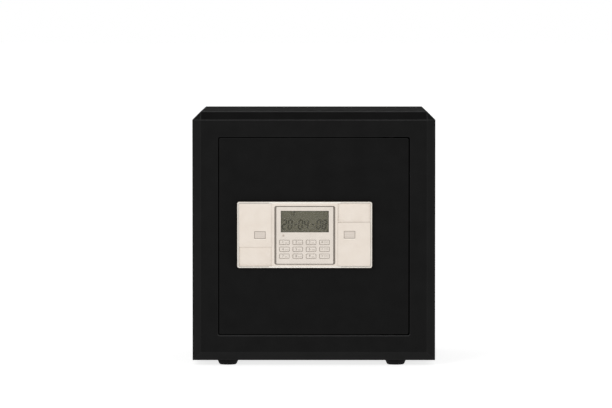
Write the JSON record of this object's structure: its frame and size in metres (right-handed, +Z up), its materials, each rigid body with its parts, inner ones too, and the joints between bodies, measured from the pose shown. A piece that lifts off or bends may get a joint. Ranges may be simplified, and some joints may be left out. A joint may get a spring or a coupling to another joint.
{
  "type": "in room safe",
  "caption": "Electronic in-room safe: chamfered steel cabinet on rubber feet, flush hinged door, keypad and display panel with sliding covers, motor bolts.",
  "frame": {"origin": "bottom centre of the bounding box, on the surface the feet stand on", "axes": "+Z up, -Y out of the door, +X to the right seen from the front"},
  "size_m": [0.383, 0.36, 0.401],
  "materials": {
    "cabinet_paint": "satin powder coat with a fine texture",
    "inner_paint": "satin powder coat",
    "jamb_paint": "satin powder coat",
    "door_paint": "satin powder coat with a fine texture",
    "inner_cover_paint": "satin powder coat",
    "zinc_steel": "zinc plated",
    "brass": "plain",
    "black_nylon": "plain",
    "felt": "felt",
    "rubber": "matt rubber",
    "bolt_steel": "ground steel",
    "gear_brass": "machined",
    "motor_metal": "satin",
    "dark_plastic": "satin",
    "trim_plating": "dark satin plating",
    "lock_chrome": "satin chrome",
    "circuit_board": "solder mask",
    "battery_wrap": "gloss",
    "red_plastic": "gloss",
    "panel_plastic": "satin with a warm silver tint",
    "face_plastic": "satin",
    "lens": "clear plastic window",
    "lcd": "liquid crystal display, olive grey",
    "keypad_rubber": "silicone",
    "led_red": "clear red",
    "lid_plastic": "satin"
  },
  "bodies": {
    "cabinet": {"cabinet_shell": "cabinet_paint", "back_plate": "cabinet_paint", "front_frame": "cabinet_paint", "door_jamb": "jamb_paint", "door_stop": "jamb_paint", "hinge_pins": "zinc_steel", "hinge_washers": "black_nylon", "floor_mat": "felt", "shelf": "inner_paint", "shelf_brackets": "inner_paint", "feet": "rubber", "foot_screws": "zinc_steel"},
    "door": {"door_plate": "door_paint", "door_box": "inner_cover_paint", "door_back_cover": "inner_cover_paint", "back_cover_screws": "zinc_steel", "hinge_blocks": "inner_paint", "bolt_guide": "zinc_steel", "gearmotor": "dark_plastic", "motor_can": "motor_metal", "lock_cylinder": "lock_chrome", "lock_nut": "zinc_steel", "control_board": "circuit_board", "battery_holder": "dark_plastic", "batteries": "battery_wrap", "wiring_harness": "red_plastic", "panel_gasket": "rubber", "panel_base": "panel_plastic", "panel_screws": "zinc_steel", "module_trim": "trim_plating", "module_face": "face_plastic", "lcd_lens": "lens", "lcd_glass": "lcd", "keypad_mat": "keypad_rubber", "keypad_board": "circuit_board", "status_led": "led_red", "power_contacts": "brass"},
    "bolt_carriage": {"bolt_carriage": "bolt_steel", "locking_bolts": "bolt_steel"},
    "motor_pinion": {"motor_pinion": "gear_brass"},
    "key_plug": {"key_plug": "lock_chrome", "lock_cam": "zinc_steel"},
    "left_cover": {"left_cover": "panel_plastic"},
    "right_cover": {"right_cover": "panel_plastic"},
    "battery_lid": {"battery_lid": "lid_plastic"},
    "reset_button": {"reset_button": "red_plastic"},
    "key_row1_column1": {"key_row1_column1": "face_plastic"},
    "key_row1_column2": {"key_row1_column2": "face_plastic"},
    "key_row1_column3": {"key_row1_column3": "face_plastic"},
    "key_row1_column4": {"key_row1_column4": "face_plastic"},
    "key_row2_column1": {"key_row2_column1": "face_plastic"},
    "key_row2_column2": {"key_row2_column2": "face_plastic"},
    "key_row2_column3": {"key_row2_column3": "face_plastic"},
    "key_row2_column4": {"key_row2_column4": "face_plastic"},
    "key_row3_column1": {"key_row3_column1": "face_plastic"},
    "key_row3_column2": {"key_row3_column2": "face_plastic"},
    "key_row3_column3": {"key_row3_column3": "face_plastic"},
    "key_row3_column4": {"key_row3_column4": "face_plastic"}
  },
  "joints": [
    {"name": "door_hinge", "type": "hinge", "parent": "cabinet", "child": "door", "pos_m": [0.121, -0.1605, 0.2045], "axis": [0, 0, 1], "range_deg": [0, 95]},
    {"name": "bolt_throw", "type": "slide", "parent": "door", "child": "bolt_carriage", "axis": [-1, 0, 0], "range_m": [0, 0.0224]},
    {"name": "pinion_turn", "type": "hinge", "parent": "door", "child": "motor_pinion", "pos_m": [-0.03, -0.135, 0.1792], "axis": [0, 1, 0], "range_deg": [0, 114.6]},
    {"name": "emergency_lock", "type": "hinge", "parent": "door", "child": "key_plug", "pos_m": [-0.09195, -0.164, 0.2422], "axis": [0, -1, 0], "range_deg": [0, 90]},
    {"name": "left_cover_slide", "type": "slide", "parent": "door", "child": "left_cover", "axis": [0, 0, -1], "range_m": [0, 0.029]},
    {"name": "right_cover_slide", "type": "slide", "parent": "door", "child": "right_cover", "axis": [0, 0, 1], "range_m": [0, 0.029]},
    {"name": "battery_lid_slide", "type": "slide", "parent": "door", "child": "battery_lid", "axis": [0, 0, -1], "range_m": [0, 0.06]},
    {"name": "reset_press", "type": "slide", "parent": "door", "child": "reset_button", "axis": [0, -1, 0], "range_m": [0, 0.002], "stiffness_N_per_m": 400},
    {"name": "key_row1_column1_press", "type": "slide", "parent": "door", "child": "key_row1_column1", "axis": [0, 1, 0], "range_m": [0, 0.001], "stiffness_N_per_m": 500},
    {"name": "key_row1_column2_press", "type": "slide", "parent": "door", "child": "key_row1_column2", "axis": [0, 1, 0], "range_m": [0, 0.001], "stiffness_N_per_m": 500},
    {"name": "key_row1_column3_press", "type": "slide", "parent": "door", "child": "key_row1_column3", "axis": [0, 1, 0], "range_m": [0, 0.001], "stiffness_N_per_m": 500},
    {"name": "key_row1_column4_press", "type": "slide", "parent": "door", "child": "key_row1_column4", "axis": [0, 1, 0], "range_m": [0, 0.001], "stiffness_N_per_m": 500},
    {"name": "key_row2_column1_press", "type": "slide", "parent": "door", "child": "key_row2_column1", "axis": [0, 1, 0], "range_m": [0, 0.001], "stiffness_N_per_m": 500},
    {"name": "key_row2_column2_press", "type": "slide", "parent": "door", "child": "key_row2_column2", "axis": [0, 1, 0], "range_m": [0, 0.001], "stiffness_N_per_m": 500},
    {"name": "key_row2_column3_press", "type": "slide", "parent": "door", "child": "key_row2_column3", "axis": [0, 1, 0], "range_m": [0, 0.001], "stiffness_N_per_m": 500},
    {"name": "key_row2_column4_press", "type": "slide", "parent": "door", "child": "key_row2_column4", "axis": [0, 1, 0], "range_m": [0, 0.001], "stiffness_N_per_m": 500},
    {"name": "key_row3_column1_press", "type": "slide", "parent": "door", "child": "key_row3_column1", "axis": [0, 1, 0], "range_m": [0, 0.001], "stiffness_N_per_m": 500},
    {"name": "key_row3_column2_press", "type": "slide", "parent": "door", "child": "key_row3_column2", "axis": [0, 1, 0], "range_m": [0, 0.001], "stiffness_N_per_m": 500},
    {"name": "key_row3_column3_press", "type": "slide", "parent": "door", "child": "key_row3_column3", "axis": [0, 1, 0], "range_m": [0, 0.001], "stiffness_N_per_m": 500},
    {"name": "key_row3_column4_press", "type": "slide", "parent": "door", "child": "key_row3_column4", "axis": [0, 1, 0], "range_m": [0, 0.001], "stiffness_N_per_m": 500}
  ],
  "couplings": [
    {"joint": "pinion_turn", "follows": "bolt_throw", "rad_per_m": 89.286}
  ]
}
